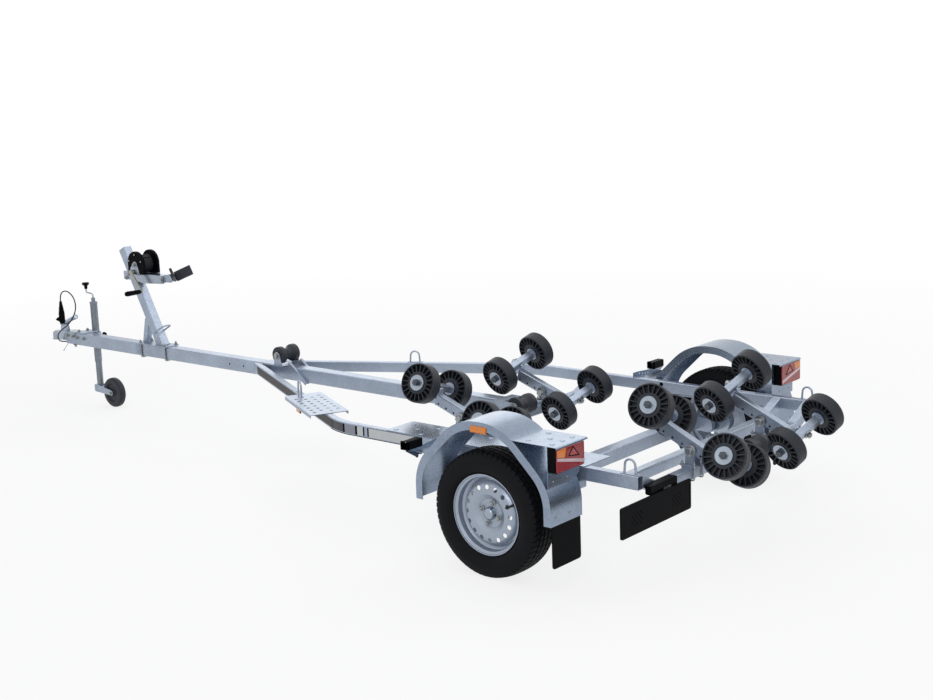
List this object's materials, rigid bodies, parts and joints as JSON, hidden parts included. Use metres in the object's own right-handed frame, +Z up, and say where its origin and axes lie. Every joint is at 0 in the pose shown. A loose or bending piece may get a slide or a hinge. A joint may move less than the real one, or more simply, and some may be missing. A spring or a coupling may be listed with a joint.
{
  "type": "boat trailer",
  "caption": "Galvanised boat trailer with splayed side rails, rocking hull-roller cradles, keel rollers, winch post and jockey wheel",
  "frame": {"origin": "middle of the trailer's length and width, on the ground", "axes": "+X right, +Y forward to the coupling, +Z up"},
  "size_m": [2.112, 5.6329, 1.1261],
  "materials": {
    "galvanised_steel": "hot-dip galvanised",
    "zinc_plate": "zinc plated",
    "silver_paint": "silver paint",
    "tyre": "black rubber",
    "black_rubber": "black moulded rubber",
    "black_plastic": "black plastic",
    "red_lens": "red lens",
    "amber_lens": "amber and white lenses"
  },
  "bodies": {
    "chassis": {"drawbar": "galvanised_steel", "side_rails": "galvanised_steel", "cross_beams": "galvanised_steel", "axle_tube": "galvanised_steel", "swing_arms": "galvanised_steel", "mudguards": "galvanised_steel", "step_plates": "galvanised_steel", "mudflaps": "black_plastic", "tail_lamp_bodies": "black_plastic", "tail_lamp_lenses": "red_lens", "marker_lamps": "amber_lens", "plate_holder": "black_plastic", "coupling_head": "zinc_plate", "coupling_lever": "zinc_plate", "jack_clamp": "galvanised_steel", "jack_outer_tube": "galvanised_steel", "jack_crank": "zinc_plate", "plug": "black_plastic", "plug_cable": "black_plastic", "safety_wire": "zinc_plate", "winch_post": "galvanised_steel", "winch_frame": "zinc_plate", "winch_housing": "black_plastic", "bow_stop": "black_rubber", "roller_brackets": "galvanised_steel", "lashing_eyes": "galvanised_steel"},
    "wheel_left": {"hub_left": "zinc_plate", "rim_left": "silver_paint", "tyre_left": "tyre"},
    "wheel_right": {"hub_right": "zinc_plate", "rim_right": "silver_paint", "tyre_right": "tyre"},
    "jack_slider": {"jack_inner_tube": "galvanised_steel"},
    "jack_caster": {"jack_fork": "galvanised_steel"},
    "jack_roller": {"jack_wheel": "black_rubber"},
    "arm_front_left": {"arm_front_left": "galvanised_steel"},
    "cross_axle_front_left_front": {"cross_axle_front_left_front": "galvanised_steel"},
    "rollers_front_left_front": {"rollers_front_left_front": "black_rubber"},
    "cross_axle_front_left_rear": {"cross_axle_front_left_rear": "galvanised_steel"},
    "rollers_front_left_rear": {"rollers_front_left_rear": "black_rubber"},
    "arm_front_right": {"arm_front_right": "galvanised_steel"},
    "cross_axle_front_right_front": {"cross_axle_front_right_front": "galvanised_steel"},
    "rollers_front_right_front": {"rollers_front_right_front": "black_rubber"},
    "cross_axle_front_right_rear": {"cross_axle_front_right_rear": "galvanised_steel"},
    "rollers_front_right_rear": {"rollers_front_right_rear": "black_rubber"},
    "arm_rear_left": {"arm_rear_left": "galvanised_steel"},
    "cross_axle_rear_left_front": {"cross_axle_rear_left_front": "galvanised_steel"},
    "rollers_rear_left_front": {"rollers_rear_left_front": "black_rubber"},
    "cross_axle_rear_left_rear": {"cross_axle_rear_left_rear": "galvanised_steel"},
    "rollers_rear_left_rear": {"rollers_rear_left_rear": "black_rubber"},
    "arm_rear_right": {"arm_rear_right": "galvanised_steel"},
    "cross_axle_rear_right_front": {"cross_axle_rear_right_front": "galvanised_steel"},
    "rollers_rear_right_front": {"rollers_rear_right_front": "black_rubber"},
    "cross_axle_rear_right_rear": {"cross_axle_rear_right_rear": "galvanised_steel"},
    "rollers_rear_right_rear": {"rollers_rear_right_rear": "black_rubber"},
    "keel_roller_front": {"keel_roller_front": "black_rubber"},
    "keel_roller_middle": {"keel_roller_middle": "black_rubber"},
    "keel_roller_rear": {"keel_roller_rear": "black_rubber"},
    "winch_crank": {"winch_crank": "zinc_plate"},
    "winch_drum": {"winch_drum": "black_plastic"}
  },
  "joints": [
    {"name": "wheel_left_spin", "type": "hinge", "parent": "chassis", "child": "wheel_left", "pos_m": [-0.958, -1.869, 0.286], "axis": [1, 0, 0], "continuous": true},
    {"name": "wheel_right_spin", "type": "hinge", "parent": "chassis", "child": "wheel_right", "pos_m": [0.958, -1.869, 0.286], "axis": [1, 0, 0], "continuous": true},
    {"name": "jack_raise", "type": "slide", "parent": "chassis", "child": "jack_slider", "axis": [0, 0, 1], "range_m": [-0.07, 0.15]},
    {"name": "jack_swivel", "type": "hinge", "parent": "jack_slider", "child": "jack_caster", "pos_m": [0.095, 2.476, 0.13], "axis": [0, 0, 1], "continuous": true},
    {"name": "jack_wheel_spin", "type": "hinge", "parent": "jack_caster", "child": "jack_roller", "pos_m": [0.095, 2.321, 0.1], "axis": [1, 0, 0], "continuous": true},
    {"name": "arm_front_left_rock", "type": "hinge", "parent": "chassis", "child": "arm_front_left", "pos_m": [-0.33, -1.165, 0.48], "axis": [1, 0, 0], "range_deg": [-15, 12]},
    {"name": "cross_axle_front_left_front_tilt", "type": "hinge", "parent": "arm_front_left", "child": "cross_axle_front_left_front", "pos_m": [-0.33, -0.99425, 0.61025], "axis": [0, 0.9397, 0.342], "range_deg": [-10, 10]},
    {"name": "rollers_front_left_front_spin", "type": "hinge", "parent": "cross_axle_front_left_front", "child": "rollers_front_left_front", "pos_m": [-0.32805, -0.99619, 0.61559], "axis": [0.9455, 0.1114, -0.3059], "continuous": true},
    {"name": "cross_axle_front_left_rear_tilt", "type": "hinge", "parent": "arm_front_left", "child": "cross_axle_front_left_rear", "pos_m": [-0.33, -1.37953, 0.47003], "axis": [0, 0.9397, 0.342], "range_deg": [-10, 10]},
    {"name": "rollers_front_left_rear_spin", "type": "hinge", "parent": "cross_axle_front_left_rear", "child": "rollers_front_left_rear", "pos_m": [-0.32805, -1.38147, 0.47536], "axis": [0.9455, 0.1114, -0.3059], "continuous": true},
    {"name": "arm_front_right_rock", "type": "hinge", "parent": "chassis", "child": "arm_front_right", "pos_m": [0.33, -1.165, 0.48], "axis": [1, 0, 0], "range_deg": [-15, 12]},
    {"name": "cross_axle_front_right_front_tilt", "type": "hinge", "parent": "arm_front_right", "child": "cross_axle_front_right_front", "pos_m": [0.33, -0.99425, 0.61025], "axis": [0, 0.9397, 0.342], "range_deg": [-10, 10]},
    {"name": "rollers_front_right_front_spin", "type": "hinge", "parent": "cross_axle_front_right_front", "child": "rollers_front_right_front", "pos_m": [0.32805, -0.99619, 0.61559], "axis": [0.9455, -0.1114, 0.3059], "continuous": true},
    {"name": "cross_axle_front_right_rear_tilt", "type": "hinge", "parent": "arm_front_right", "child": "cross_axle_front_right_rear", "pos_m": [0.33, -1.37953, 0.47003], "axis": [0, 0.9397, 0.342], "range_deg": [-10, 10]},
    {"name": "rollers_front_right_rear_spin", "type": "hinge", "parent": "cross_axle_front_right_rear", "child": "rollers_front_right_rear", "pos_m": [0.32805, -1.38147, 0.47536], "axis": [0.9455, -0.1114, 0.3059], "continuous": true},
    {"name": "arm_rear_left_rock", "type": "hinge", "parent": "chassis", "child": "arm_rear_left", "pos_m": [-0.308, -2.473, 0.505], "axis": [1, 0, 0], "range_deg": [-8, 15]},
    {"name": "cross_axle_rear_left_front_tilt", "type": "hinge", "parent": "arm_rear_left", "child": "cross_axle_rear_left_front", "pos_m": [-0.308, -2.3135, 0.64881], "axis": [0, 0.9085, 0.4179], "range_deg": [-10, 10]},
    {"name": "rollers_rear_left_front_spin", "type": "hinge", "parent": "cross_axle_rear_left_front", "child": "rollers_rear_left_front", "pos_m": [-0.30549, -2.31578, 0.65376], "axis": [0.9085, 0.1746, -0.3796], "continuous": true},
    {"name": "cross_axle_rear_left_rear_tilt", "type": "hinge", "parent": "arm_rear_left", "child": "cross_axle_rear_left_rear", "pos_m": [-0.308, -2.68599, 0.47748], "axis": [0, 0.9085, 0.4179], "range_deg": [-10, 10]},
    {"name": "rollers_rear_left_rear_spin", "type": "hinge", "parent": "cross_axle_rear_left_rear", "child": "rollers_rear_left_rear", "pos_m": [-0.30549, -2.68826, 0.48243], "axis": [0.9085, 0.1746, -0.3796], "continuous": true},
    {"name": "arm_rear_right_rock", "type": "hinge", "parent": "chassis", "child": "arm_rear_right", "pos_m": [0.308, -2.473, 0.505], "axis": [1, 0, 0], "range_deg": [-8, 15]},
    {"name": "cross_axle_rear_right_front_tilt", "type": "hinge", "parent": "arm_rear_right", "child": "cross_axle_rear_right_front", "pos_m": [0.308, -2.3135, 0.64881], "axis": [0, 0.9085, 0.4179], "range_deg": [-10, 10]},
    {"name": "rollers_rear_right_front_spin", "type": "hinge", "parent": "cross_axle_rear_right_front", "child": "rollers_rear_right_front", "pos_m": [0.30549, -2.31578, 0.65376], "axis": [0.9085, -0.1746, 0.3796], "continuous": true},
    {"name": "cross_axle_rear_right_rear_tilt", "type": "hinge", "parent": "arm_rear_right", "child": "cross_axle_rear_right_rear", "pos_m": [0.308, -2.68599, 0.47748], "axis": [0, 0.9085, 0.4179], "range_deg": [-10, 10]},
    {"name": "rollers_rear_right_rear_spin", "type": "hinge", "parent": "cross_axle_rear_right_rear", "child": "rollers_rear_right_rear", "pos_m": [0.30549, -2.68826, 0.48243], "axis": [0.9085, -0.1746, 0.3796], "continuous": true},
    {"name": "keel_roller_front_spin", "type": "hinge", "parent": "chassis", "child": "keel_roller_front", "pos_m": [0, 0.474, 0.574], "axis": [1, 0, 0], "continuous": true},
    {"name": "keel_roller_middle_spin", "type": "hinge", "parent": "chassis", "child": "keel_roller_middle", "pos_m": [0, -1.276, 0.489], "axis": [1, 0, 0], "continuous": true},
    {"name": "keel_roller_rear_spin", "type": "hinge", "parent": "chassis", "child": "keel_roller_rear", "pos_m": [0, -2.601, 0.461], "axis": [1, 0, 0], "continuous": true},
    {"name": "winch_crank_turn", "type": "hinge", "parent": "chassis", "child": "winch_crank", "pos_m": [0, 1.7861, 0.978], "axis": [1, 0, 0], "continuous": true},
    {"name": "winch_drum_turn", "type": "hinge", "parent": "chassis", "child": "winch_drum", "pos_m": [0, 1.7611, 1.026], "axis": [1, 0, 0], "continuous": true}
  ],
  "couplings": [
    {"joint": "winch_drum_turn", "follows": "winch_crank_turn", "ratio": -0.25}
  ]
}
